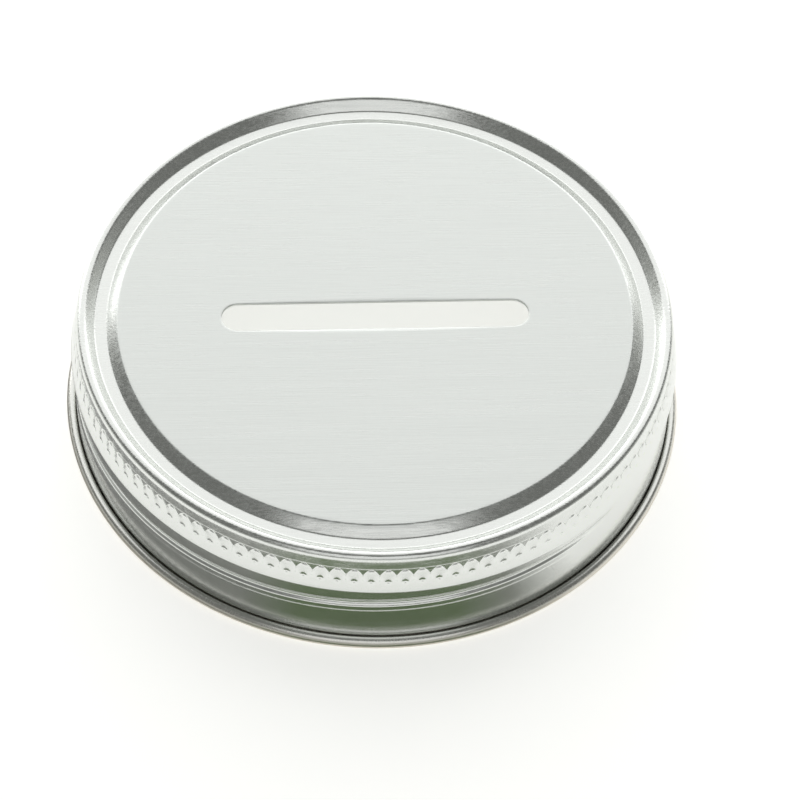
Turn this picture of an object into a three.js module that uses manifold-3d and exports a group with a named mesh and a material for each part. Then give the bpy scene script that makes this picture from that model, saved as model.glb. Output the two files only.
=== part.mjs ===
// Coin-slot screw lid for a storage jar: a cap pressed in one piece from tinplate, with a raised
// centre panel, a knurled grip band, a rolled thread and a curled rim, and the silicone ring that
// seals it on the jar. Millimetres, +Z up. The origin is the centre of the plane that the curled
// rim stands on, and the coin slot runs along X. Angles round the lid start at -Y and grow towards +X.
import * as THREE from 'three';
import { mergeVertices } from 'three/addons/utils/BufferGeometryUtils.js';
import Module from 'manifold-3d';

// Overall
const LID_DIAMETER = 70; // over the curled rim
const LID_HEIGHT = 15.2; // rim underside to crest
const SHEET = 0.28; // tinplate thickness

// Top, from the crest inwards. Bends are outside radii.
const CREST_BEND = 0.67;
const PANEL_DROP = 0.2; // centre panel below the crest
const CHANNEL_DEPTH = 0.9; // channel floor below the centre panel
const CHANNEL_BEND = 0.45;
const CHANNEL_FLOOR = 0.9; // flat width of the channel floor
const CREST_RUN = 1.6; // channel floor's outer edge to the crest's centre line
const PANEL_RUN = 1.6; // panel's edge to the channel floor's inner edge
const PANEL_BEND = 0.45;

// Side, from the crest downwards
const NECK_INSET = 0.48; // neck inside the wall
const NECK_HEIGHT = 1.9; // crest top to the start of the flare
const NECK_BEND = 0.5;
const GRIP_HEIGHT = 3.35; // flare, from the neck bend to the lip
const LIP_PROUD = 0.27; // lip outside the wall
const LIP_BEND = 0.3;
const STEP_HEIGHT = 0.5; // undercut below the lip
const STEP_BEND = 0.2;
const CURL_RADIUS = 0.7;
const CURL_END = 290; // degrees that the rim is rolled through

// Knurls on the flare
const KNURL_COUNT = 116;
const KNURL_TOP = 0.35; // neck bend to the knurls' shoulders
const KNURL_LENGTH = 1.3; // between shoulders
const KNURL_TAPER = 0.35; // height of each rounded end
const KNURL_CREST = 0.34; // proud of the flare
const KNURL_VALLEY = 0.07;
const KNURL_ROOT = 0.12; // depth that a knurl starts inside the sheet
const KNURL_SHARE = 0.5; // share of the knurls' spacing that a knurl takes up

// Thread, a groove rolled inwards, right-handed
const THREAD_PITCH = 5.08;
const THREAD_DEPTH = 0.4;
const THREAD_HALF_WIDTH = 0.95;
const THREAD_DROP = 1.3; // wall top to the groove's centre at its upper end
const THREAD_LIFT = 2.16; // curl's top to the groove's centre at its lower end
const THREAD_TOP_ANGLE = 55;
const THREAD_RUNOUT = 25; // degrees over which each end fades

// Coin slot, an oblong hole with round ends
const SLOT_LENGTH = 34.4;
const SLOT_WIDTH = 3.8;

// Silicone seal ring
const SEAL_WIDTH = 2.8;
const SEAL_THICKNESS = 1.2;
const SEAL_EDGE = 0.25; // chamfer on its edges
const SEAL_SIDE_CLEARANCE = 0.3; // to the thread that it is drawn out past
const SEAL_TOP_CLEARANCE = 0.1; // to the channel's underside

// Facets
const RING_SEGMENTS = 48;
const SLOT_END_SEGMENTS = 12;
const BEND_STEP = 45; // a bend has a facet edge wherever its normal passes a multiple of this, degrees
const GROOVE_STEPS = [-1, -0.5, 0, 0.5, 1]; // rows across the thread groove, in half widths
const SAME_ANGLE = 5; // a facet edge nearer than this to a bend's end is left out, degrees
const SAME_HEIGHT = 0.003; // rounding allowed when a vertex's row is looked up

const rad = THREE.MathUtils.degToRad;
const fullTurn = 2 * Math.PI;

// Radii and heights that follow from the sizes above
const wallRadius = LID_DIAMETER / 2 - 2 * CURL_RADIUS + SHEET;
const neckRadius = wallRadius - NECK_INSET;
const lipRadius = wallRadius + LIP_PROUD;
const panelHeight = LID_HEIGHT - PANEL_DROP;
const channelHeight = panelHeight - CHANNEL_DEPTH;
const neckBendHeight = LID_HEIGHT - NECK_HEIGHT;
const lipHeight = neckBendHeight - GRIP_HEIGHT;
const wallTop = lipHeight - STEP_HEIGHT;
const crestCentre = neckRadius - CREST_BEND;
const channelOuter = crestCentre - CREST_RUN;
const channelInner = channelOuter - CHANNEL_FLOOR;
const panelRadius = channelInner - PANEL_RUN;
const threadTop = wallTop - THREAD_DROP;
const threadRise = threadTop - 2 * CURL_RADIUS - THREAD_LIFT;
const threadSweep = (360 * threadRise) / THREAD_PITCH; // degrees from the upper end to the lower end

const wasm = await Module();
wasm.setup();

// A bend of the sheet: its centre, and its outside radius, which is negative where the sheet
// turns the other way and the centre lies outside the lid.
const bend = (radius, height, size) => ({ centre: new THREE.Vector2(radius, height), size });

const neck = bend(neckRadius + NECK_BEND, neckBendHeight, -NECK_BEND);
const lip = bend(lipRadius - LIP_BEND, lipHeight, LIP_BEND);

// The sheet's bends in order, from the panel's edge to the curl.
const bends = [
  bend(panelRadius, panelHeight - PANEL_BEND, PANEL_BEND),
  bend(channelInner, channelHeight + CHANNEL_BEND, -CHANNEL_BEND),
  bend(channelOuter, channelHeight + CHANNEL_BEND, -CHANNEL_BEND),
  bend(crestCentre, LID_HEIGHT - CREST_BEND, CREST_BEND),
  neck,
  lip,
  bend(wallRadius + STEP_BEND, wallTop, -STEP_BEND),
  bend(LID_DIAMETER / 2 - CURL_RADIUS, CURL_RADIUS, SHEET - CURL_RADIUS),
];

// Angle of the outward normal on the straight that joins two bends: the line touches both circles,
// so along the normal their centres differ by the difference of their radii.
function straightNormal(from, to) {
  const across = to.centre.clone().sub(from.centre);
  return across.angle() + Math.acos((from.size - to.size) / across.length());
}

// Point of a bend where the sheet has the given normal, on the face `depth` inside the outer face.
function bendPoint({ centre, size }, normal, depth) {
  const outward = new THREE.Vector2(Math.cos(normal), Math.sin(normal));
  return centre.clone().addScaledVector(outward, size - depth);
}

// Normals at the facet edges of a bend: its two ends and the multiples of the step between them.
function bendNormals(start, end) {
  const step = rad(BEND_STEP);
  const low = Math.min(start, end) + rad(SAME_ANGLE);
  const high = Math.max(start, end) - rad(SAME_ANGLE);
  const between = [];
  for (let normal = Math.ceil(low / step) * step; normal < high; normal += step) {
    between.push(normal);
  }
  return [start, ...(start < end ? between : between.reverse()), end];
}

// Rows of the thread groove on one face of the wall, placed at the groove's mean height.
function threadRows(depth) {
  const meanHeight = threadHeight(rad(THREAD_TOP_ANGLE - threadSweep / 2));
  const radius = wallRadius - depth;
  return GROOVE_STEPS.map((step) => new THREE.Vector2(radius, meanHeight - step * THREAD_HALF_WIDTH));
}

// One face of the sheet from the axis to the raw edge of the curl.
function sheetFace(depth) {
  const normals = bends.slice(1).map((next, i) => straightNormal(bends[i], next));
  const starts = [Math.PI / 2, ...normals];
  const ends = [...normals, starts.at(-1) + rad(CURL_END)];
  const curl = bends.length - 1;
  const points = [new THREE.Vector2(0, panelHeight - depth)];
  bends.forEach((item, i) => {
    if (i === curl) {
      points.push(...threadRows(depth));
    }
    const turn = THREE.MathUtils.euclideanModulo(ends[i] - starts[i] + Math.PI, fullTurn) - Math.PI;
    const sweep = i === curl ? rad(CURL_END) : turn;
    const turned = bendNormals(starts[i], starts[i] + sweep);
    points.push(...turned.map((normal) => bendPoint(item, normal, depth)));
  });
  return points;
}

// Height of the groove's centre at an angle round the lid, along the turn that carries the thread.
function threadHeight(angle) {
  const behindTop = THREE.MathUtils.euclideanModulo(rad(THREAD_TOP_ANGLE) - angle, fullTurn);
  const climbBack = Math.max(0, behindTop - rad(threadSweep)) / (fullTurn - rad(threadSweep));
  const along = Math.min(behindTop, rad(threadSweep)) * (1 - climbBack);
  return threadTop - (THREAD_PITCH * along) / fullTurn;
}

// Share of the full depth that the groove has at an angle, fading out at both ends.
function threadFade(angle) {
  const behindTop = THREE.MathUtils.euclideanModulo(rad(THREAD_TOP_ANGLE) - angle, fullTurn);
  const toNearerEnd = Math.min(behindTop, rad(threadSweep) - behindTop);
  return THREE.MathUtils.smoothstep(toNearerEnd, 0, rad(THREAD_RUNOUT));
}

// Revolves a closed outline of (radius, height) points, listed anticlockwise, about Z.
function revolve(outline, segments) {
  const geometry = new THREE.LatheGeometry([...outline, outline[0]], segments);
  return geometry.rotateX(Math.PI / 2);
}

// Moves every vertex by a rule on its angle, radius and height, which returns [radius, height].
function reshape(geometry, rule) {
  const position = geometry.getAttribute('position');
  for (let i = 0; i < position.count; i += 1) {
    const angle = Math.atan2(position.getX(i), -position.getY(i));
    const wide = Math.hypot(position.getX(i), position.getY(i));
    const [radius, height] = rule(angle, wide, position.getZ(i));
    position.setXYZ(i, radius * Math.sin(angle), -radius * Math.cos(angle), height);
  }
  return geometry;
}

// Rolls the thread into a plain revolved wall: the groove's rows slide to the helix and sink inwards.
function rollThread(geometry) {
  const rowHeights = threadRows(0).map((row) => row.y);
  const meanHeight = rowHeights[(rowHeights.length - 1) / 2];
  const innermost = wallRadius - SHEET - THREAD_DEPTH / 2;
  return reshape(geometry, (angle, radius, height) => {
    const row = rowHeights.findIndex((value) => Math.abs(value - height) < SAME_HEIGHT);
    if (row < 0 || radius < innermost) {
      return [radius, height];
    }
    const profile = (1 + Math.cos(Math.PI * GROOVE_STEPS[row])) / 2;
    const sunk = THREAD_DEPTH * profile * threadFade(angle);
    return [radius - sunk, height - meanHeight + threadHeight(angle)];
  });
}

// Radius of the flare's outer face at a height between the neck bend and the lip.
function flareRadius(height) {
  const normal = straightNormal(neck, lip);
  const start = bendPoint(neck, normal, 0);
  return start.x + (start.y - height) * Math.tan(normal);
}

// The knurls: a thin ring on the flare whose face stands out at every other segment.
function knurlRing() {
  const shoulder = neckBendHeight - KNURL_TOP;
  const heel = shoulder - KNURL_LENGTH;
  const rows = [heel - KNURL_TAPER, heel, shoulder, shoulder + KNURL_TAPER];
  const proud = [-KNURL_ROOT, KNURL_VALLEY, KNURL_VALLEY, -KNURL_ROOT];
  const outline = rows.map((height, i) => new THREE.Vector2(flareRadius(height) + proud[i], height));
  const pitch = fullTurn / KNURL_COUNT;
  const middle = (shoulder + heel) / 2;
  return reshape(revolve(outline, 2 * KNURL_COUNT), (angle, radius, height) => {
    const fromCrest = Math.abs(angle / pitch - Math.round(angle / pitch));
    const onFace = Math.abs(height - middle) < (KNURL_LENGTH + KNURL_TAPER) / 2;
    const onCrest = fromCrest < KNURL_SHARE / 2;
    return [radius + (onFace && onCrest ? KNURL_CREST - KNURL_VALLEY : 0), height];
  });
}

// The coin slot's cutter, longer than the sheet is thick.
function slotCutter() {
  const halfLength = (SLOT_LENGTH - SLOT_WIDTH) / 2;
  const outline = new THREE.Shape();
  outline.absarc(halfLength, 0, SLOT_WIDTH / 2, -Math.PI / 2, Math.PI / 2);
  outline.absarc(-halfLength, 0, SLOT_WIDTH / 2, Math.PI / 2, 1.5 * Math.PI);
  const options = { depth: 3 * SHEET, bevelEnabled: false, curveSegments: SLOT_END_SEGMENTS };
  return new THREE.ExtrudeGeometry(outline, options).translate(0, 0, panelHeight - 2 * SHEET);
}

// Turns a closed geometry into a solid that can be joined and cut.
function toSolid(source) {
  const geometry = source.clone();
  geometry.deleteAttribute('normal');
  geometry.deleteAttribute('uv');
  const merged = mergeVertices(geometry);
  const corners = merged.getIndex().array;
  const triVerts = [];
  for (let i = 0; i < corners.length; i += 3) {
    const [a, b, c] = corners.slice(i, i + 3);
    if (a !== b && b !== c && c !== a) {
      triVerts.push(a, b, c);
    }
  }
  const vertProperties = new Float32Array(merged.getAttribute('position').array);
  const mesh = new wasm.Mesh({ numProp: 3, vertProperties, triVerts: new Uint32Array(triVerts) });
  return new wasm.Manifold(mesh);
}

// Turns a solid back into a geometry.
function toGeometry(solid) {
  const { vertProperties, triVerts } = solid.getMesh();
  const geometry = new THREE.BufferGeometry();
  geometry.setAttribute('position', new THREE.BufferAttribute(vertProperties, 3));
  geometry.setIndex(new THREE.BufferAttribute(triVerts, 1));
  geometry.computeVertexNormals();
  return geometry;
}

// Bright tinplate with a satin rolled finish.
function tinplate() {
  return new THREE.MeshStandardMaterial({ color: 0xd6d9d3, roughness: 0.3, metalness: 1 });
}

// Milky food-grade silicone.
function silicone() {
  return new THREE.MeshStandardMaterial({ color: 0xe6e4dc, roughness: 0.6, metalness: 0 });
}

// The cap: pressed sheet, thread, knurls and slot.
function makeShell() {
  const outline = [...sheetFace(SHEET), ...sheetFace(0).reverse()];
  const pressed = toSolid(rollThread(revolve(outline, RING_SEGMENTS)));
  const solid = pressed.add(toSolid(knurlRing())).subtract(toSolid(slotCutter()));
  const mesh = new THREE.Mesh(toGeometry(solid), tinplate());
  mesh.name = 'lid_shell';
  return mesh;
}

// The seal: a flat ring with chamfered edges under the channel, where the jar's rim bears.
function makeSeal() {
  const outer = wallRadius - SHEET - THREAD_DEPTH - SEAL_SIDE_CLEARANCE;
  const inner = outer - SEAL_WIDTH;
  const edge = SEAL_EDGE;
  const section = [
    [inner + edge, 0],
    [outer - edge, 0],
    [outer, edge],
    [outer, SEAL_THICKNESS - edge],
    [outer - edge, SEAL_THICKNESS],
    [inner + edge, SEAL_THICKNESS],
    [inner, SEAL_THICKNESS - edge],
    [inner, edge],
  ];
  const outline = section.map((point) => new THREE.Vector2(...point));
  const mesh = new THREE.Mesh(revolve(outline, RING_SEGMENTS), silicone());
  mesh.name = 'seal_ring';
  mesh.position.z = channelHeight - SHEET - SEAL_TOP_CLEARANCE - SEAL_THICKNESS;
  return mesh;
}

const lid = new THREE.Group();
lid.add(makeShell(), makeSeal());

export default lid;
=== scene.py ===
"""The looks of a coin-slot jar lid: a tinplate cap pressed in one piece, and its silicone seal ring.

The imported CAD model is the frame. The cap is one closed sheet, laid out as rings of points round the
lid's axis: a profile carried round a circle, with the knurls, the rolled thread and the slot added as
formulas of the angle. Lengths inside the classes are millimetres, and every mesh is made in metres.
Angles round the lid start at -Y and grow towards +X.
"""

import sys

import logging
import math
from dataclasses import dataclass, field
from enum import Enum

import bpy
import numpy as np
from mathutils import Matrix, Vector


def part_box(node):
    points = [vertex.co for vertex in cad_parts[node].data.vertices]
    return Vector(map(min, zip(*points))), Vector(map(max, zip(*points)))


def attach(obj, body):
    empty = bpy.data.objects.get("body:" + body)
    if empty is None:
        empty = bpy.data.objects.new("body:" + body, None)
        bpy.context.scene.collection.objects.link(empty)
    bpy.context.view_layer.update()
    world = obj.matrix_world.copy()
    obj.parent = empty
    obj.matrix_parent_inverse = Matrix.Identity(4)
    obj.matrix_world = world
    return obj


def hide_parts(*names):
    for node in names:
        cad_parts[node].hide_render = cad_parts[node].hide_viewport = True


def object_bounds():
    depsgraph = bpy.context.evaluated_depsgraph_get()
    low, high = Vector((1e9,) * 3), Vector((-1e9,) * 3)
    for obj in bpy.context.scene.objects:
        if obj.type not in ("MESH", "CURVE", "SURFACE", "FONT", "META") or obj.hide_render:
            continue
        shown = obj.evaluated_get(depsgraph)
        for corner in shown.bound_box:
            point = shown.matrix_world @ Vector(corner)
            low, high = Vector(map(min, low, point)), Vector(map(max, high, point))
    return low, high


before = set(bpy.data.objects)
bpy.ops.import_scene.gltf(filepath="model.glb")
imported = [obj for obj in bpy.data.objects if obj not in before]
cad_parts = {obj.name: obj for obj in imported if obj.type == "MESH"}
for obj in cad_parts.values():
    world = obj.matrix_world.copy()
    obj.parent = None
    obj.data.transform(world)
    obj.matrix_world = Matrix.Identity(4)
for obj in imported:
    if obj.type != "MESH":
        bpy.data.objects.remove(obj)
cad_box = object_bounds()

MM = 0.001
FULL_TURN = 2.0 * math.pi
LOG = logging.getLogger("coin_lid")


class Slot(Enum):
    """Material slots of the record."""

    TINPLATE = "tinplate"
    SILICONE = "silicone"


class Body(Enum):
    """Bodies of the record."""

    LID = "lid"
    SEAL = "seal"


# ---------------------------------------------------------------------------------------------
# Colours and nodes
# ---------------------------------------------------------------------------------------------


def linear(hex_colour: str) -> tuple[float, float, float, float]:
    """Turns an sRGB hex colour into the linear colour that a shader socket takes.

    Args:
        hex_colour: six hex digits after a hash sign.

    Returns:
        Linear red, green and blue, and an alpha of 1.
    """
    values = [int(hex_colour[i : i + 2], 16) / 255 for i in (1, 3, 5)]
    red, green, blue = (v / 12.92 if v <= 0.04045 else ((v + 0.055) / 1.055) ** 2.4 for v in values)
    return red, green, blue, 1.0


@dataclass
class NodeTree:
    """A material's or a world's nodes, with one way to add a node."""

    owner: bpy.types.Material | bpy.types.World

    def __post_init__(self) -> None:
        """Empties the owner's node tree."""
        self.owner.use_nodes = True
        self.tree = self.owner.node_tree
        self.tree.nodes.clear()

    def add(self, kind: str, inputs: dict | None = None, **settings) -> bpy.types.Node:
        """Adds a node with its settings, and sets or links its inputs.

        Args:
            kind: the node's type name.
            inputs: input name or number to a value or to another node's output socket.
            settings: the node's own properties.

        Returns:
            The new node.
        """
        node = self.tree.nodes.new(kind)
        for name, value in settings.items():
            setattr(node, name, value)
        for key, value in (inputs or {}).items():
            if isinstance(value, bpy.types.NodeSocket):
                self.tree.links.new(value, node.inputs[key])
            else:
                node.inputs[key].default_value = value
        return node


# ---------------------------------------------------------------------------------------------
# Finishes
# ---------------------------------------------------------------------------------------------


@dataclass(frozen=True)
class Tinplate:
    """Bright tinplate: cold-rolled steel with a flow-melted tin coat, then pressed and rolled.

    The mill's rollers leave a satin grain that runs straight along X on the flat sheet. The dies
    burnish the drawn wall, and drag short fine marks across its bends.
    """

    name: str = "bright_tinplate"
    panel_colour: str = "#D9DCD9"
    formed_colour: str = "#E6E8E5"
    curl_colour: str = "#DDD8CE"
    panel_roughness: float = 0.34
    formed_roughness: float = 0.25
    curl_roughness: float = 0.4
    panel_edge_mm: float = 28.6
    top_edge_mm: float = 33.0
    curl_top_mm: float = 1.6
    blend_mm: float = 0.8
    # Mill grain is about 0.05 mm wide. It is drawn three times as coarse, so that it shows.
    grain_width_mm: float = 0.15
    grain_length_mm: float = 6.0
    grain_depth_mm: float = 0.0035
    grain_contrast: float = 0.12
    grain_shade: float = 0.035
    mark_share: float = 0.3
    draw_width_mm: float = 0.25
    draw_length_mm: float = 2.4
    scratch_width_mm: float = 0.5
    scratch_length_mm: float = 30.0
    ripple_mm: float = 14.0
    ripple_depth_mm: float = 0.03
    ripple_strength: float = 0.4
    # Noise stays near its middle, and this share of its range is spread out to fill 0 to 1.
    noise_low: float = 0.32
    noise_high: float = 0.68

    def build(self) -> bpy.types.Material:
        """Makes the material.

        Returns:
            A metal whose roughness and bump come from the mill grain on the top and from the draw
            marks on the wall. The flat panel keeps the mill's satin, the bends are burnished, and
            the curl is scuffed by the rolling tool.
        """
        material = bpy.data.materials.new(self.name)
        nodes = NodeTree(material)
        place = nodes.add("ShaderNodeTexCoord").outputs["Object"]
        flat = nodes.add("ShaderNodeVectorMath", {0: place, 1: (1.0, 1.0, 0.0)}, operation="MULTIPLY")
        radius = nodes.add("ShaderNodeVectorMath", {0: flat.outputs[0]}, operation="LENGTH").outputs["Value"]
        height = nodes.add("ShaderNodeSeparateXYZ", {0: place}).outputs["Z"]
        formed, wall, curl = (
            nodes.add(
                "ShaderNodeMapRange",
                {"Value": value, "From Min": edge * MM, "From Max": (edge + blend) * MM},
                interpolation_type="SMOOTHSTEP",
            ).outputs["Result"]
            for value, edge, blend in (
                (radius, self.panel_edge_mm, self.blend_mm),
                (radius, self.top_edge_mm, self.blend_mm),
                (height, self.curl_top_mm, -self.blend_mm),
            )
        )
        grain = self._streaks(nodes, place, (self.grain_length_mm, self.grain_width_mm, self.grain_width_mm))
        path = nodes.add("ShaderNodeUVMap", uv_map=GRID_MAP).outputs["UV"]
        marks = self._streaks(nodes, path, (self.draw_width_mm, self.draw_length_mm, 1.0))
        bands = self._streaks(
            nodes, place, (self.scratch_length_mm, self.scratch_width_mm, self.scratch_width_mm)
        )
        faint = nodes.add("ShaderNodeMath", {0: marks, 1: self.mark_share}, operation="MULTIPLY").outputs[0]
        texture = nodes.add("ShaderNodeMix", {0: wall, 2: grain, 3: faint}, data_type="FLOAT").outputs[0]
        ripple = nodes.add(
            "ShaderNodeTexNoise", {"Vector": place, "Scale": 1 / (self.ripple_mm * MM), "Detail": 1.0}
        ).outputs["Fac"]
        burnish = nodes.add(
            "ShaderNodeMapRange",
            {"Value": formed, "To Min": self.panel_roughness, "To Max": self.formed_roughness},
        ).outputs["Result"]
        rough = nodes.add(
            "ShaderNodeMix", {0: curl, 2: burnish, 3: self.curl_roughness}, data_type="FLOAT"
        ).outputs[0]
        for pattern, share in ((texture, self.grain_contrast), (bands, self.grain_contrast / 2)):
            centred = nodes.add("ShaderNodeMath", {0: pattern, 1: 0.5}, operation="SUBTRACT").outputs[0]
            rough = nodes.add(
                "ShaderNodeMath", {0: centred, 1: share, 2: rough}, operation="MULTIPLY_ADD"
            ).outputs[0]
        shade = nodes.add(
            "ShaderNodeMapRange", {"Value": texture, "To Min": 1 - self.grain_shade, "To Max": 1.0}
        ).outputs["Result"]
        pressed = nodes.add(
            "ShaderNodeMix",
            {0: formed, 6: linear(self.panel_colour), 7: linear(self.formed_colour)},
            data_type="RGBA",
        ).outputs[2]
        pressed = nodes.add("ShaderNodeVectorMath", {0: pressed, 3: shade}, operation="SCALE").outputs[0]
        tone = nodes.add(
            "ShaderNodeMix", {0: curl, 6: pressed, 7: linear(self.curl_colour)}, data_type="RGBA"
        ).outputs[2]
        wave = nodes.add(
            "ShaderNodeBump",
            {
                "Height": ripple,
                "Distance": self.ripple_depth_mm * MM,
                "Strength": self.ripple_strength,
            },
        )
        fine = nodes.add(
            "ShaderNodeBump",
            {"Height": texture, "Distance": self.grain_depth_mm * MM, "Normal": wave.outputs["Normal"]},
        )
        shader = nodes.add(
            "ShaderNodeBsdfPrincipled",
            {"Base Color": tone, "Metallic": 1.0, "Roughness": rough, "Normal": fine.outputs["Normal"]},
        )
        nodes.add("ShaderNodeOutputMaterial", {"Surface": shader.outputs["BSDF"]})
        return material

    def _streaks(
        self, nodes: NodeTree, place: bpy.types.NodeSocket, size_mm: tuple[float, float, float]
    ) -> bpy.types.NodeSocket:
        """Adds fine noise stretched into streaks.

        Args:
            nodes: the material's nodes.
            place: coordinates in metres.
            size_mm: length of a streak along each coordinate.

        Returns:
            The noise, spread out to fill 0 to 1.
        """
        scale = tuple(1 / (length * MM) for length in size_mm)
        stretched = nodes.add("ShaderNodeMapping", {"Vector": place, "Scale": scale}).outputs["Vector"]
        noise = nodes.add(
            "ShaderNodeTexNoise", {"Vector": stretched, "Scale": 1.0, "Detail": 3.0}
        ).outputs["Fac"]
        spread = {"Value": noise, "From Min": self.noise_low, "From Max": self.noise_high}
        return nodes.add("ShaderNodeMapRange", spread, interpolation_type="SMOOTHSTEP").outputs["Result"]


@dataclass(frozen=True)
class Silicone:
    """Milky platinum-cured silicone, compression moulded: matte, a little translucent."""

    name: str = "milky_silicone"
    colour: str = "#E6E3D8"
    shade: str = "#DDDACE"
    roughness: float = 0.48
    ior: float = 1.41
    translucency: float = 0.25
    depth_mm: float = 0.8
    mottle_mm: float = 0.35
    mottle_depth_mm: float = 0.01
    mottle_strength: float = 0.6

    def build(self) -> bpy.types.Material:
        """Makes the material.

        Returns:
            A rubber with the faint orange peel that the mould leaves.
        """
        material = bpy.data.materials.new(self.name)
        nodes = NodeTree(material)
        place = nodes.add("ShaderNodeTexCoord").outputs["Object"]
        peel = nodes.add(
            "ShaderNodeTexNoise", {"Vector": place, "Scale": 1 / (self.mottle_mm * MM), "Detail": 2.0}
        ).outputs["Fac"]
        tone = nodes.add(
            "ShaderNodeMix",
            {0: peel, 6: linear(self.shade), 7: linear(self.colour)},
            data_type="RGBA",
        ).outputs[2]
        bump = nodes.add(
            "ShaderNodeBump",
            {"Height": peel, "Distance": self.mottle_depth_mm * MM, "Strength": self.mottle_strength},
        )
        shader = nodes.add(
            "ShaderNodeBsdfPrincipled",
            {
                "Base Color": tone,
                "Roughness": self.roughness,
                "IOR": self.ior,
                "Subsurface Weight": self.translucency,
                "Subsurface Scale": self.depth_mm * MM,
                "Normal": bump.outputs["Normal"],
            },
        )
        nodes.add("ShaderNodeOutputMaterial", {"Surface": shader.outputs["BSDF"]})
        return material


# ---------------------------------------------------------------------------------------------
# Ring surfaces
# ---------------------------------------------------------------------------------------------

GRID_MAP = "grid_mm"


def around(columns: int) -> np.ndarray:
    """Angles of a ring's points, evenly spaced, starting at -Y.

    Args:
        columns: number of points.

    Returns:
        The angles, in radians.
    """
    return np.arange(columns) * (FULL_TURN / columns)


def ring(radius: np.ndarray | float, height: np.ndarray | float, columns: int) -> np.ndarray:
    """Points of one ring: x = r sin a, y = -r cos a, z = h.

    Args:
        radius: one radius, or one for each point.
        height: one height, or one for each point.
        columns: number of points.

    Returns:
        An array of points, one row each, in millimetres.
    """
    angle = around(columns)
    radii, heights = np.broadcast_to(radius, columns), np.broadcast_to(height, columns)
    return np.stack([radii * np.sin(angle), -radii * np.cos(angle), heights], axis=1)


def smooth(value: np.ndarray | float) -> np.ndarray:
    """The smooth step 3t^2 - 2t^3 of a value held between 0 and 1.

    Args:
        value: the values.

    Returns:
        0 for values up to 0, 1 for values from 1, and an S curve between.
    """
    t = np.clip(value, 0.0, 1.0)
    return t * t * (3 - 2 * t)


@dataclass
class RingSurface:
    """A closed surface made of rings, in which each ring joins the next and the last joins the first.

    Neighbouring rings have the same number of points, or one has a whole number of times as many.
    """

    rings: list[np.ndarray] = field(default_factory=list)

    def extend(self, rings: list[np.ndarray]) -> None:
        """Adds rings at the end.

        Args:
            rings: the rings, in order.
        """
        self.rings.extend(rings)

    def _strip(self, first: int, n: int, second: int, m: int) -> list[np.ndarray]:
        """Faces between two rings, as arrays of vertex numbers.

        Args:
            first: number of the first ring's first vertex.
            n: number of points on the first ring.
            second: number of the second ring's first vertex.
            m: number of points on the second ring.

        Returns:
            One array of faces: quads where the rings match, and more corners where one ring is finer.
        """
        few, many = min(n, m), max(n, m)
        ratio = many // few
        if ratio * few != many:
            raise ValueError(f"rings of {n} and {m} points don't match")
        i = np.arange(few)
        j = (i + 1) % few
        fine = [(ratio * i + k) % many for k in range(ratio + 1)]
        if m == many:
            return [np.stack([first + i, first + j, *(second + k for k in reversed(fine))], axis=1)]
        return [np.stack([*(first + k for k in fine), second + j, second + i], axis=1)]

    def mesh(self, name: str) -> bpy.types.Mesh:
        """Makes the mesh, in metres, with a map of arc length round the ring and along the profile.

        Args:
            name: the mesh's name.

        Returns:
            A closed, smooth-shaded mesh.
        """
        points = np.concatenate(self.rings) * MM
        starts = np.concatenate([[0], np.cumsum([len(r) for r in self.rings])]).astype(int)
        faces: list[np.ndarray] = []
        count = len(self.rings)
        for k in range(count):
            after = (k + 1) % count
            faces += self._strip(starts[k], len(self.rings[k]), starts[after], len(self.rings[after]))
        sizes = np.concatenate([np.full(len(f), f.shape[1]) for f in faces])
        corners = np.concatenate([f.ravel() for f in faces])
        mesh = bpy.data.meshes.new(name)
        mesh.vertices.add(len(points))
        mesh.vertices.foreach_set("co", points.ravel())
        mesh.loops.add(len(corners))
        mesh.loops.foreach_set("vertex_index", corners)
        mesh.polygons.add(len(sizes))
        mesh.polygons.foreach_set("loop_start", np.concatenate([[0], np.cumsum(sizes)[:-1]]))
        mesh.polygons.foreach_set("loop_total", sizes)
        mesh.update(calc_edges=True)
        mesh.validate()
        mesh.shade_smooth()
        self._map(mesh, corners)
        return mesh

    def _map(self, mesh: bpy.types.Mesh, corners: np.ndarray) -> None:
        """Writes the map: x is the way round at a fixed radius, y the way along the profile, in metres.

        The way round is measured from the angle of each face's own corners, so that no face spans
        the join at the first column.

        Args:
            mesh: the finished mesh.
            corners: vertex number of each face corner.
        """
        radius = max(float(np.hypot(r[:, 0], r[:, 1]).max()) for r in self.rings) * MM
        gaps = [np.linalg.norm(b[0] - a[0]) for a, b in zip(self.rings, self.rings[1:])]
        along = np.concatenate([[0.0], np.cumsum(gaps)]) * MM
        v = np.repeat(along, [len(r) for r in self.rings])
        turn = np.concatenate([around(len(r)) for r in self.rings])
        angle = turn[corners]
        totals = np.zeros(len(mesh.polygons), int)
        mesh.polygons.foreach_get("loop_total", totals)
        owner = np.repeat(np.arange(len(totals)), totals)
        highest = np.zeros(len(totals))
        np.maximum.at(highest, owner, angle)
        spans_join = (highest[owner] > 0.75 * FULL_TURN) & (angle < 0.25 * FULL_TURN)
        angle = np.where(spans_join, angle + FULL_TURN, angle)
        layer = mesh.uv_layers.new(name=GRID_MAP)
        layer.data.foreach_set("uv", np.stack([angle * radius, v[corners]], axis=1).ravel())


def place_piece(name: str, mesh: bpy.types.Mesh, material: bpy.types.Material) -> bpy.types.Object:
    """Puts a mesh in the scene as a piece with one material.

    Args:
        name: the piece's name.
        mesh: its mesh, already in place.
        material: its finish.

    Returns:
        The new object, at the origin.
    """
    piece = bpy.data.objects.new(name, mesh)
    bpy.context.scene.collection.objects.link(piece)
    mesh.materials.append(material)
    return piece


# ---------------------------------------------------------------------------------------------
# The pressed cap
# ---------------------------------------------------------------------------------------------


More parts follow.
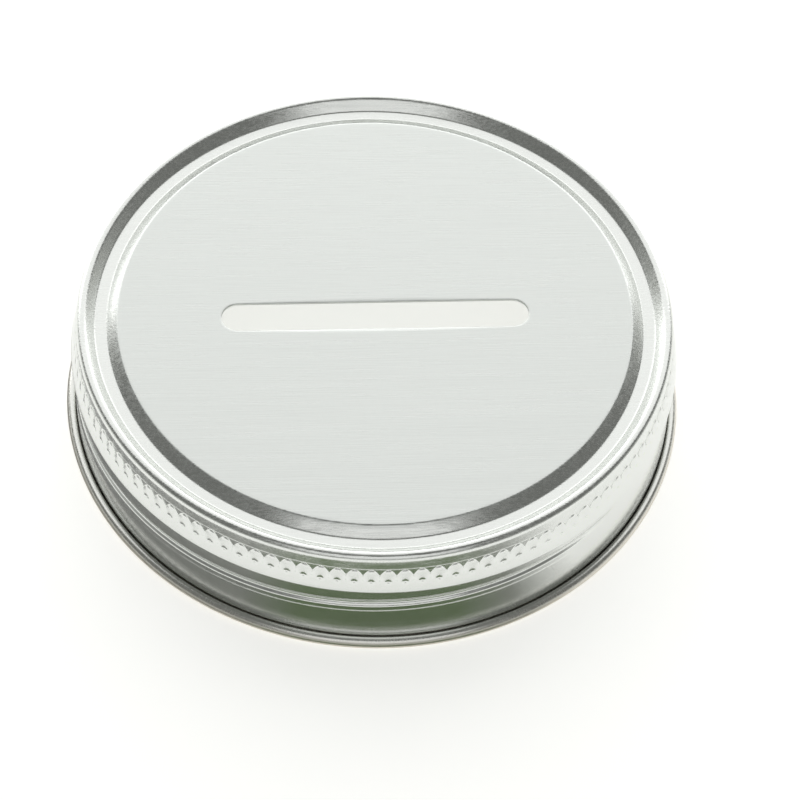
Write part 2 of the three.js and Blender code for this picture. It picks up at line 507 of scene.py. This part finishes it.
@dataclass(frozen=True)
class Bend:
    """A bend of the sheet: its centre, and its outside radius.

    The radius is negative where the sheet turns the other way and the centre lies outside the lid.
    """

    radius: float
    height: float
    size: float

    def point(self, normal: np.ndarray, depth: float) -> np.ndarray:
        """Points where the sheet has the given normals, on the face `depth` inside the outer face.

        Args:
            normal: angles of the sheet's outward normal, in radians.
            depth: distance in from the outer face.

        Returns:
            Rows of radius and height: the centre plus the normal times the radius less the depth.
        """
        reach = self.size - depth
        return np.stack([self.radius + reach * np.cos(normal), self.height + reach * np.sin(normal)], axis=1)

    def straight_normal(self, other: "Bend") -> float:
        """Angle of the normal on the straight that touches this bend and the next.

        Along that normal the two centres differ by the difference of the two radii.

        Args:
            other: the next bend.

        Returns:
            The angle, in radians.
        """
        dr, dz = other.radius - self.radius, other.height - self.height
        return math.atan2(dz, dr) + math.acos((self.size - other.size) / math.hypot(dr, dz))


@dataclass
class CapShell:
    """The one-piece cap: panel with the coin slot, channel, crest, knurled flare, thread and curl."""

    sheet: float = 0.28
    crest_bend: float = 0.67
    panel_drop: float = 0.2
    channel_depth: float = 0.9
    channel_bend: float = 0.45
    channel_floor: float = 0.9
    crest_run: float = 1.6
    panel_run: float = 1.6
    panel_bend: float = 0.45
    neck_inset: float = 0.48
    neck_height: float = 1.9
    neck_bend: float = 0.5
    grip_height: float = 3.35
    lip_proud: float = 0.27
    lip_bend: float = 0.3
    step_height: float = 0.5
    step_bend: float = 0.2
    curl_radius: float = 0.7
    curl_end: float = 300.0

    knurl_count: int = 116
    knurl_top: float = 0.14
    knurl_length: float = 1.72
    knurl_rise: float = 0.14
    knurl_shoulder: float = 0.26
    knurl_dome: float = 1.05
    pit_depth: float = 0.11
    pit_width: float = 0.3
    pit_height: float = 0.2
    pit_above: float = 0.3
    pit_below: float = 0.4
    pit_rows: int = 9
    neck_shares: tuple[float, ...] = (0.05, 0.5, 0.98)
    shoulder_rows: int = 6
    body_rows: int = 5

    thread_pitch: float = 5.08
    thread_depth: float = 0.4
    thread_drop: float = 1.3
    thread_lift: float = 2.16
    thread_top_angle: float = 55.0
    thread_runout: float = 25.0
    groove_reach: float = 1.05
    flank_start: float = 0.14
    flank_run: float = 0.48
    land_end: float = 1.08
    land_run: float = 0.34
    land_share: float = 0.18

    slot_length: float = 34.4
    slot_width: float = 3.8
    slot_rollover: float = 0.08
    slot_rollover_bow: float = 0.3
    slot_burr: float = 0.04

    columns: int = 348
    knurl_columns: int = 1392
    bend_step: float = 11.0
    inner_coarseness: float = 2.2
    # How far along a stretch its rings lie, from its start to its end.
    straight_shares: tuple[float, ...] = (0.12, 0.88)
    wall_head_shares: tuple[float, ...] = (0.1, 0.6)
    wall_foot_shares: tuple[float, ...] = (0.7, 0.4, 0.06)
    panel_shares: tuple[float, ...] = (0.0, 0.02, 0.2, 0.5, 0.8, 0.985)
    under_shares: tuple[float, ...] = (0.985, 0.5, 0.02)

    def __post_init__(self) -> None:
        """Takes the overall size from the CAD node and works out the radii and heights."""
        low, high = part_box("lid_shell")
        self.outer_radius = (high.x - low.x) / 2 / MM
        self.height = high.z / MM
        self.wall_radius = self.outer_radius - 2 * self.curl_radius + self.sheet
        neck_radius = self.wall_radius - self.neck_inset
        lip_radius = self.wall_radius + self.lip_proud
        self.panel_height = self.height - self.panel_drop
        channel_height = self.panel_height - self.channel_depth
        self.neck_bend_height = self.height - self.neck_height
        self.lip_height = self.neck_bend_height - self.grip_height
        self.wall_top = self.lip_height - self.step_height
        crest_centre = neck_radius - self.crest_bend
        thread_rise = self.wall_top - self.thread_drop - 2 * self.curl_radius - self.thread_lift
        self.thread_sweep = 360.0 * thread_rise / self.thread_pitch
        channel_outer = crest_centre - self.crest_run
        channel_inner = channel_outer - self.channel_floor
        self.panel_radius = channel_inner - self.panel_run
        self.panel_edge = Bend(self.panel_radius, self.panel_height - self.panel_bend, self.panel_bend)
        self.channel_in = Bend(channel_inner, channel_height + self.channel_bend, -self.channel_bend)
        self.channel_out = Bend(channel_outer, channel_height + self.channel_bend, -self.channel_bend)
        self.crest = Bend(crest_centre, self.height - self.crest_bend, self.crest_bend)
        self.neck = Bend(neck_radius + self.neck_bend, self.neck_bend_height, -self.neck_bend)
        self.lip = Bend(lip_radius - self.lip_bend, self.lip_height, self.lip_bend)
        self.step = Bend(self.wall_radius + self.step_bend, self.wall_top, -self.step_bend)
        curl_centre = self.outer_radius - self.curl_radius
        self.curl = Bend(curl_centre, self.curl_radius, self.sheet - self.curl_radius)

    # ---- Profile pieces

    def _bend_rings(
        self, bend: Bend, start: float, end: float, depth: float, coarse: float
    ) -> list[np.ndarray]:
        """Rings round one bend.

        Args:
            bend: the bend.
            start: normal where it begins, in radians.
            end: normal where it ends.
            depth: distance in from the outer face.
            coarse: how many times larger the steps are.

        Returns:
            The rings, evenly spaced in angle.
        """
        steps = max(2, math.ceil(math.degrees(abs(end - start)) / (self.bend_step * coarse)))
        profile = bend.point(np.linspace(start, end, steps + 1), depth)
        return [ring(r, z, self.columns) for r, z in profile]

    def _straight_rings(self, start: np.ndarray, end: np.ndarray) -> list[np.ndarray]:
        """Rings near both ends of a straight, which keep it straight next to the bends.

        Args:
            start: radius and height where it begins.
            end: radius and height where it ends.

        Returns:
            The rings, in order.
        """
        return [ring(*(start + (end - start) * share), self.columns) for share in self.straight_shares]

    # ---- Panel and slot

    def _slot_outline(self, inset: float) -> np.ndarray:
        """The slot's outline, evenly spaced along its length, starting at the middle of its -Y side.

        Args:
            inset: how far the outline lies inside the slot's finished edge.

        Returns:
            Rows of x and y: two straights joined by two half circles.
        """
        half_width = self.slot_width / 2 - inset
        half_straight = (self.slot_length - self.slot_width) / 2
        quarter = half_straight + half_width * math.pi / 2
        s = np.linspace(0.0, 4 * quarter, self.columns, endpoint=False)
        side = np.floor(s / quarter).astype(int)
        t = np.where(side % 2 == 0, s - side * quarter, (side + 1) * quarter - s)
        bend = np.maximum(t - half_straight, 0.0) / half_width
        x = np.minimum(t, half_straight) + half_width * np.sin(bend)
        y = half_width * np.cos(bend)
        right, front = side < 2, (side == 0) | (side == 3)
        return np.stack([np.where(right, x, -x), np.where(front, -y, y)], axis=1)

    def _slot_ring(self, inset: float, height: float) -> np.ndarray:
        """The slot's outline as a ring.

        Args:
            inset: how far the outline lies inside the slot's finished edge.
            height: the ring's height.

        Returns:
            The ring.
        """
        outline = self._slot_outline(inset)
        return np.column_stack([outline, np.full(self.columns, height)])

    def _panel_rings(self, height: float, edge: float, shares: tuple[float, ...]) -> list[np.ndarray]:
        """Rings that turn the slot's outline into the panel's round edge.

        Args:
            height: height of this face of the panel.
            edge: radius at which the flat ends.
            shares: how far each ring is from the slot to the edge.

        Returns:
            Rings whose points go straight from the slot's outline to the round edge.
        """
        slot = self._slot_ring(-self.slot_rollover, height)
        outer = ring(edge, height, self.columns)
        return [slot + (outer - slot) * share for share in shares]

    # ---- Knurled flare

    def _flare_radius(self, height: np.ndarray | float) -> np.ndarray | float:
        """Radius of the flare's outer face between the neck and the lip.

        Args:
            height: one height, or one for each point.

        Returns:
            The radius at each height.
        """
        normal = self.neck.straight_normal(self.lip)
        start = self.neck.point(np.array([normal]), 0.0)[0]
        return start[0] + (start[1] - height) * math.tan(normal)

    def _knurl_across(self) -> np.ndarray:
        """Place of each fine column across its knurl.

        Returns:
            Values from -1 through 0 on the knurl's crest line to 1.
        """
        phase = around(self.knurl_columns) * self.knurl_count / FULL_TURN
        return 2 * (phase - np.round(phase))

    def _knurl_tops(self, across: np.ndarray) -> np.ndarray:
        """Height of the knurls' rounded tops, which drop as a parabola away from the middle.

        Args:
            across: place of each column across its knurl.

        Returns:
            The height at each column.
        """
        crown = self.neck_bend_height - self.knurl_top
        return crown - self.knurl_dome * across**2

    def _flare_rings(self, depth: float) -> list[np.ndarray]:
        """Rings of the flare with its knurls, on one face of the sheet.

        Across a knurl the rise is a squared cosine. Down a knurl it comes out as a quarter sine wave
        under the rounded top, then sinks evenly to nothing at the foot. Between two tops the neck
        runs straight down before it flares, and the valley joins the flare at the foot. At the foot
        of each crest line the punch leaves a pit, whose depth falls off as a bell curve both ways.

        Args:
            depth: distance in from the outer face. The inner face has no knurls.

        Returns:
            Rings from just below the neck to just above the lip.
        """
        normal = self.neck.straight_normal(self.lip)
        first = self.neck.point(np.array([normal]), 0.0)[0][1]
        last = self.lip.point(np.array([normal]), 0.0)[0][1]
        if depth > 0:
            lean = depth / math.cos(normal)
            levels = np.linspace(first, last, 6)[1:-1]
            return [ring(self._flare_radius(h) - lean, h, self.columns) for h in levels]
        across = self._knurl_across()
        arch = np.cos(across * math.pi / 2) ** 2
        tops = self._knurl_tops(across)
        shoulder = tops - self.knurl_shoulder
        foot = self.neck_bend_height - self.knurl_top - self.knurl_length
        pit_top = foot + self.pit_above
        pit_end = foot - self.pit_below
        heights = [first + (tops - first) * share for share in self.neck_shares]
        heights += [tops - self.knurl_shoulder * t for t in np.linspace(0.0, 1.0, self.shoulder_rows)]
        body = np.linspace(0.0, 1.0, self.body_rows + 1)[1:]
        heights += [shoulder + (pit_top - shoulder) * t for t in body]
        heights += [np.full_like(tops, h) for h in np.linspace(pit_top, pit_end, self.pit_rows)[1:]]
        rings = []
        for height in heights:
            down = np.clip((tops - height) / self.knurl_shoulder, 0.0, 1.0)
            left = np.clip((height - foot) / (tops - foot), 0.0, 1.0)
            rise = self.knurl_rise * arch * np.sin(down * math.pi / 2) * left
            sunk = first - height
            valley = math.tan(normal) * np.minimum(sunk, first - tops) * left
            spread = (across / self.pit_width) ** 2 + ((height - foot) / self.pit_height) ** 2
            bell = np.exp(-spread)
            radius = self._flare_radius(height) + rise - valley - self.pit_depth * bell
            rings.append(ring(radius, height, self.knurl_columns))
        below = np.linspace(pit_end, last, 3)[1:-1]
        return rings + [ring(self._flare_radius(h), h, self.columns) for h in below]

    # ---- Threaded wall

    def _thread_course(self) -> tuple[np.ndarray, np.ndarray]:
        """Height of the groove's centre and its share of full depth, at each point of a ring.

        Going back from the upper end the groove drops one pitch a turn over its sweep, then climbs
        back unseen to where it began. Its depth fades at both ends by a smooth step.

        Returns:
            The heights and the shares.
        """
        angles = (self.thread_top_angle, self.thread_sweep, self.thread_runout)
        top, sweep, runout = (math.radians(a) for a in angles)
        behind = np.mod(top - around(self.columns), FULL_TURN)
        back = np.maximum(0.0, behind - sweep) / (FULL_TURN - sweep)
        along = np.minimum(behind, sweep) * (1 - smooth(back))
        heights = self.wall_top - self.thread_drop - self.thread_pitch * along / FULL_TURN
        shares = smooth(np.minimum(behind, sweep - behind) / runout)
        return heights, shares

    def _groove_profile(self) -> tuple[np.ndarray, np.ndarray]:
        """The thread groove across its width, from above to below.

        The upper side sinks in a smooth curve. The lower side comes out steeply in two steps with a
        narrow land between, where the roller's edge pressed.

        Returns:
            Heights from the groove's centre, and depths as shares of the full depth.
        """
        upper = np.array([1.05, 0.9, 0.75, 0.6, 0.45, 0.3, 0.15, 0.0, -0.1])
        flank = np.array([-0.18, -0.26, -0.34, -0.42, -0.5, -0.58, -0.66])
        land = np.array([-0.76, -1.0, -1.12, -1.2, -1.28, -1.36, -1.44])
        depths = (
            (1 + np.cos(math.pi * np.clip(upper / self.groove_reach, 0, 1))) / 2,
            1 - (1 - self.land_share) * smooth((-flank - self.flank_start) / self.flank_run),
            self.land_share * (1 - smooth((-land - self.land_end) / self.land_run)),
        )
        return np.concatenate([upper, flank, land]), np.concatenate(depths)

    def _wall_rings(self, depth: float) -> list[np.ndarray]:
        """Rings of the threaded wall on one face of the sheet, from the step down to the curl.

        Args:
            depth: distance in from the outer face.

        Returns:
            The rings, in order.
        """
        heights, shares = self._thread_course()
        offsets, depths = self._groove_profile()
        if depth > 0:
            offsets, depths = offsets[::2], depths[::2]
        radius = self.wall_radius - depth
        head = self.wall_top
        lead = heights + offsets[0] - head
        upper = [ring(radius, head + lead * t, self.columns) for t in self.wall_head_shares]
        groove = [
            ring(radius - self.thread_depth * deep * shares, heights + offset, self.columns)
            for offset, deep in zip(offsets, depths)
        ]
        foot = self.curl.height
        tail = heights + offsets[-1] - foot
        lower = [ring(radius, foot + tail * t, self.columns) for t in self.wall_foot_shares]
        return upper + groove + lower

    # ---- Whole sheet

    def _face(self, depth: float) -> list[np.ndarray]:
        """Rings of one face of the sheet, from the panel's edge to the curl's raw edge.

        Args:
            depth: distance in from the outer face.

        Returns:
            The rings, in order.
        """
        coarse = 1.0 if depth == 0 else self.inner_coarseness
        top_bends = [self.panel_edge, self.channel_in, self.channel_out, self.crest]
        chain = [*top_bends, self.neck, self.lip, self.step, self.curl]
        straights = [a.straight_normal(b) for a, b in zip(chain, chain[1:])]
        starts = [math.pi / 2, *straights]
        ends = [*straights, math.radians(self.curl_end)]
        rings: list[np.ndarray] = []
        for index, bend in enumerate(chain):
            start, end = (math.remainder(a, FULL_TURN) for a in (starts[index], ends[index]))
            if bend is self.curl:
                start, end = 0.0, math.radians(self.curl_end)
                rings += self._wall_rings(depth)
            if bend is self.lip:
                rings += self._flare_rings(depth)
            rings += self._bend_rings(bend, start, end, depth, coarse)
            if bend in top_bends:
                here = bend.point(np.array([end]), depth)[0]
                there = chain[index + 1].point(np.array([end]), depth)[0]
                rings += self._straight_rings(here, there)
        return rings

    def build(self) -> bpy.types.Object:
        """Makes the cap as one closed sheet and sets it in the CAD node's place.

        Returns:
            The cap.
        """
        top, under = self.panel_height, self.panel_height - self.sheet
        edge = self.panel_radius
        rollover = self.slot_rollover
        surface = RingSurface()
        surface.extend(
            [
                self._slot_ring(0.0, under + self.slot_burr),
                self._slot_ring(0.0, top - rollover),
                self._slot_ring(-rollover * self.slot_rollover_bow, top - rollover * self.slot_rollover_bow),
            ]
        )
        surface.extend(self._panel_rings(top, edge, self.panel_shares))
        surface.extend(self._face(0.0))
        surface.extend(self._face(self.sheet)[::-1])
        surface.extend(self._panel_rings(under, edge, self.under_shares))
        mesh = surface.mesh("pressed_cap")
        piece = place_piece("pressed_cap", mesh, Tinplate().build())
        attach(piece, Body.LID.value)
        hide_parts("lid_shell")
        return piece


# ---------------------------------------------------------------------------------------------
# The seal
# ---------------------------------------------------------------------------------------------


@dataclass
class SealRing:
    """The moulded silicone ring under the channel, a flat band with rounded edges."""

    edge: float = 0.3
    flash: float = 0.03
    flash_half_width: float = 0.06
    columns: int = 360
    corner_steps: int = 6

    def build(self) -> bpy.types.Object:
        """Makes the ring from its section: a rectangle with round corners, carried round the axis.

        A thin parting line stands out on the inner side, where the mould closed.

        Returns:
            The ring.
        """
        low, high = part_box("seal_ring")
        inner, outer = self._radii()
        bottom, top = low.z / MM, high.z / MM
        corners = (
            (outer - self.edge, bottom + self.edge, -90.0),
            (outer - self.edge, top - self.edge, 0.0),
            (inner + self.edge, top - self.edge, 90.0),
            (inner + self.edge, bottom + self.edge, 180.0),
        )
        surface = RingSurface()
        middle = (bottom + top) / 2
        for radius, height, start in corners:
            turn = np.radians(start + np.linspace(0.0, 90.0, self.corner_steps + 1))
            surface.extend(
                [
                    ring(radius + self.edge * math.cos(a), height + self.edge * math.sin(a), self.columns)
                    for a in turn
                ]
            )
            if start == 90.0:
                half = self.flash_half_width
                for offset, proud in ((half, 0.0), (0.0, self.flash), (-half, 0.0)):
                    surface.extend([ring(inner - proud, middle + offset, self.columns)])
        surface.rings.reverse()
        piece = place_piece("silicone_seal", surface.mesh("silicone_seal"), Silicone().build())
        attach(piece, Body.SEAL.value)
        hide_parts("seal_ring")
        return piece

    def _radii(self) -> tuple[float, float]:
        """Measures the CAD ring.

        Returns:
            Its inner and outer radius, in millimetres.
        """
        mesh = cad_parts["seal_ring"].data
        co = np.empty(len(mesh.vertices) * 3, np.float32)
        mesh.vertices.foreach_get("co", co)
        radii = np.hypot(co[0::3], co[1::3]) / MM
        return float(radii.min()), float(radii.max())


# ---------------------------------------------------------------------------------------------
# Studio
# ---------------------------------------------------------------------------------------------


@dataclass(frozen=True)
class Softbox:
    """A flat soft light that faces the lid.

    Azimuth 0 is the camera's side, and it grows towards +X. Glow is the brightness of its face.
    """

    name: str
    azimuth: float
    elevation: float
    distance: float
    width: float
    height: float
    glow: float
    colour: str = "#FFFFFF"

    def build(self) -> None:
        """Sets the light up, with the power that gives its face the wanted glow."""
        turn, lift = math.radians(self.azimuth), math.radians(self.elevation)
        out = Vector((math.sin(turn) * math.cos(lift), -math.cos(turn) * math.cos(lift), math.sin(lift)))
        light = bpy.data.lights.new(self.name, "AREA")
        light.shape = "RECTANGLE"
        light.size, light.size_y = self.width, self.height
        light.energy = self.glow * math.pi * self.width * self.height
        light.color = linear(self.colour)[:3]
        lamp = bpy.data.objects.new(self.name, light)
        lamp.location = out * self.distance
        lamp.rotation_euler = out.to_track_quat("Z", "Y").to_euler()
        bpy.context.scene.collection.objects.link(lamp)


@dataclass
class Studio:
    """Pale glowing table, soft lights, a card in front that paints a reflection of shade into the wall, and
    the camera.
    """

    floor_size: float = 6.0
    floor_colour: str = "#F4F4F2"
    floor_glow: float = 0.6
    card_roughness: float = 0.9
    card_sheen: float = 0.1
    # Painted reflection: the card's colours by angle round the lid, which paint dark and light bands into
    # the wall.
    shade_reflection_tones: tuple[tuple[float, str], ...] = (
        (-115.0, "#8E8E90"),
        (-95.0, "#8E8E90"),
        (-55.0, "#B4B4B2"),
        (-30.0, "#C2C3BE"),
        (-17.0, "#9BAE89"),
        (15.0, "#9BAE89"),
        (27.0, "#CDCFC8"),
        (42.0, "#CDCFC8"),
    )
    shade_reflection_depth: float = 0.010
    shade_reflection_share: float = 0.45
    shade_reflection_steps: int = 61
    shade_reflection_height: float = 0.0004
    world_colour: str = "#F2F4EF"
    horizon_glow: float = 0.7
    overhead_glow: float = 0.19
    horizon_rise: float = 0.05
    overhead_rise: float = 0.42
    camera_azimuth: float = -4.25
    camera_elevation: float = 51.75
    camera_distance: float = 0.4
    target_height: float = 0.008
    aim_right: float = 0.00315
    aim_up: float = -0.00514
    roll: float = -2.89
    lens: float = 158.8
    clip_start: float = 0.01
    clip_end: float = 20.0
    softboxes: tuple[Softbox, ...] = (
        Softbox("low_back_softbox", 180.0, 17.0, 1.2, 2.6, 0.8, 1.7),
        Softbox("high_back_softbox", 180.0, 55.0, 1.2, 2.2, 0.86, 0.92),
        Softbox("front_softbox", 0.0, 46.0, 1.2, 0.95, 0.9, 0.75),
    )

    def build(self) -> None:
        """Sets up everything round the lid."""
        self._floor()
        # Painted reflection of shade in the lid's wall.
        self._paint_shade_reflection()
        self._world()
        for softbox in self.softboxes:
            softbox.build()
        self._camera()
        bpy.context.scene.view_settings.view_transform = "Standard"

    def _card(
        self, name: str, corners: list[tuple[float, float, float]], colour: str, glow: float
    ) -> bpy.types.Object:
        """Makes a flat matt card that may glow a little, and is clear from behind.

        Args:
            name: the card's name.
            corners: its four corners.
            colour: its colour.
            glow: how much of that colour it gives out.

        Returns:
            The card.
        """
        mesh = bpy.data.meshes.new(name)
        mesh.from_pydata(corners, [], [(0, 1, 2, 3)])
        material = bpy.data.materials.new(name)
        nodes = NodeTree(material)
        shader = nodes.add(
            "ShaderNodeBsdfPrincipled",
            {
                "Base Color": linear(colour),
                "Roughness": self.card_roughness,
                "Specular IOR Level": self.card_sheen,
                "Emission Color": linear(colour),
                "Emission Strength": glow,
            },
        )
        clear = nodes.add("ShaderNodeBsdfTransparent").outputs["BSDF"]
        below = nodes.add("ShaderNodeNewGeometry").outputs["Backfacing"]
        pane = nodes.add("ShaderNodeMixShader", {0: below, 1: shader.outputs["BSDF"], 2: clear})
        nodes.add("ShaderNodeOutputMaterial", {"Surface": pane.outputs["Shader"]})
        card = place_piece(name, mesh, material)
        return card

    def _floor(self) -> None:
        """Lays a pale light table under the lid."""
        half = self.floor_size / 2
        corners = [(-half, -half, 0.0), (half, -half, 0.0), (half, half, 0.0), (-half, half, 0.0)]
        self._card("pale_table", corners, self.floor_colour, self.floor_glow)

    def _paint_shade_reflection(self) -> None:
        """Lays a card round the lid's front and left, a painted reflection of shade that shows only in its
        wall.

        It is a sector of a ring, narrower away from the front. Its colour, painted shade and light for that
        reflection, follows the angle round the lid, and its ends fade out.
        """
        near = cad_box[1].x + self.shade_reflection_height
        turn = np.radians(np.linspace(self.shade_reflection_tones[0][0], self.shade_reflection_tones[-1][0], self.shade_reflection_steps))
        far = near + self.shade_reflection_depth * (self.shade_reflection_share + (1 - self.shade_reflection_share) * np.cos(turn))
        arcs = [
            np.stack([r * np.sin(turn), -r * np.cos(turn), np.full(turn.size, self.shade_reflection_height)], axis=1)
            for r in (far, near)
        ]
        corners = np.concatenate([arcs[0], arcs[1][::-1]])
        mesh = bpy.data.meshes.new("painted_shade_reflection")
        mesh.from_pydata(corners, [], [tuple(range(len(corners)))])
        material = bpy.data.materials.new("painted_shade_reflection")
        nodes = NodeTree(material)
        place = nodes.add("ShaderNodeTexCoord").outputs["Object"]
        axes = nodes.add("ShaderNodeSeparateXYZ", {0: place}).outputs
        front = nodes.add("ShaderNodeMath", {0: axes["Y"], 1: -1.0}, operation="MULTIPLY").outputs[0]
        angle = nodes.add("ShaderNodeMath", {0: axes["X"], 1: front}, operation="ARCTAN2").outputs[0]
        share = nodes.add(
            "ShaderNodeMapRange", {"Value": angle, "From Min": float(turn[0]), "From Max": float(turn[-1])}
        ).outputs["Result"]
        ramp = nodes.add("ShaderNodeValToRGB", {"Fac": share})
        first, last = self.shade_reflection_tones[0][0], self.shade_reflection_tones[-1][0]
        stops = ramp.color_ramp.elements
        while len(stops) < len(self.shade_reflection_tones):
            stops.new(1.0)
        for stop, (degrees, colour) in zip(stops, self.shade_reflection_tones):
            stop.position = (degrees - first) / (last - first)
            solid = 0.0 if degrees in (first, last) else 1.0
            stop.color = (*linear(colour)[:3], solid)
        # Painted shade and light: the card's colours are seen only as a reflection in the wall.
        card = nodes.add("ShaderNodeBsdfDiffuse", {"Color": ramp.outputs["Color"]}).outputs["BSDF"]
        clear = nodes.add("ShaderNodeBsdfTransparent").outputs["BSDF"]
        shader = nodes.add("ShaderNodeMixShader", {0: ramp.outputs["Alpha"], 1: clear, 2: card})
        nodes.add("ShaderNodeOutputMaterial", {"Surface": shader.outputs["Shader"]})
        reflection_card = place_piece("painted_shade_reflection", mesh, material)
        # Hidden from the camera, from diffuse light and from shadows, so that it is only a painted
        # reflection.
        for ray in ("camera", "diffuse", "transmission", "shadow"):
            setattr(reflection_card, f"visible_{ray}", False)

    def _world(self) -> None:
        """Fills the room with even light that is brighter near the horizon than overhead."""
        world = bpy.data.worlds.new("studio")
        nodes = NodeTree(world)
        ray = nodes.add("ShaderNodeTexCoord").outputs["Generated"]
        rise = nodes.add("ShaderNodeSeparateXYZ", {0: ray}).outputs["Z"]
        strength = nodes.add(
            "ShaderNodeMapRange",
            {
                "Value": rise,
                "From Min": self.horizon_rise,
                "From Max": self.overhead_rise,
                "To Min": self.horizon_glow,
                "To Max": self.overhead_glow,
            },
            interpolation_type="SMOOTHSTEP",
        ).outputs["Result"]
        background = nodes.add(
            "ShaderNodeBackground", {"Color": linear(self.world_colour), "Strength": strength}
        )
        nodes.add("ShaderNodeOutputWorld", {"Surface": background.outputs["Background"]})
        bpy.context.scene.world = world

    def _camera(self) -> None:
        """Places the camera on its arc, aims it a little off the lid's centre and rolls it."""
        angles = (self.camera_azimuth, self.camera_elevation, self.roll)
        turn, lift, roll = (math.radians(a) for a in angles)
        centre = Vector((0.0, 0.0, self.target_height))
        out = Vector((math.sin(turn) * math.cos(lift), -math.cos(turn) * math.cos(lift), math.sin(lift)))
        right = Vector((math.cos(turn), math.sin(turn), 0.0))
        up = out.cross(right)
        place = centre + out * self.camera_distance
        ahead = (centre + right * self.aim_right + up * self.aim_up - place).normalized()
        right = ahead.cross(Vector((0.0, 0.0, 1.0))).normalized()
        up = right.cross(ahead)
        level, tilt = math.cos(roll), math.sin(roll)
        axes = (right * level - up * tilt, right * tilt + up * level, -ahead)
        data = bpy.data.cameras.new("camera")
        data.lens = self.lens
        data.clip_start, data.clip_end = self.clip_start, self.clip_end
        camera = bpy.data.objects.new("camera", data)
        camera.matrix_world = Matrix.Translation(place) @ Matrix(axes).transposed().to_4x4()
        bpy.context.scene.collection.objects.link(camera)
        bpy.context.scene.camera = camera


def report(piece: bpy.types.Object) -> None:
    """Logs a piece's name and triangle count.

    Args:
        piece: the piece.
    """
    piece.data.calc_loop_triangles()
    LOG.info("%s: %d triangles", piece.name, len(piece.data.loop_triangles))


def main() -> None:
    """Builds the lid and the studio."""
    logging.basicConfig(level=logging.INFO, stream=sys.stdout)
    for maker in (CapShell(), SealRing()):
        report(maker.build())
    Studio().build()


if __name__ == "__main__":
    main()
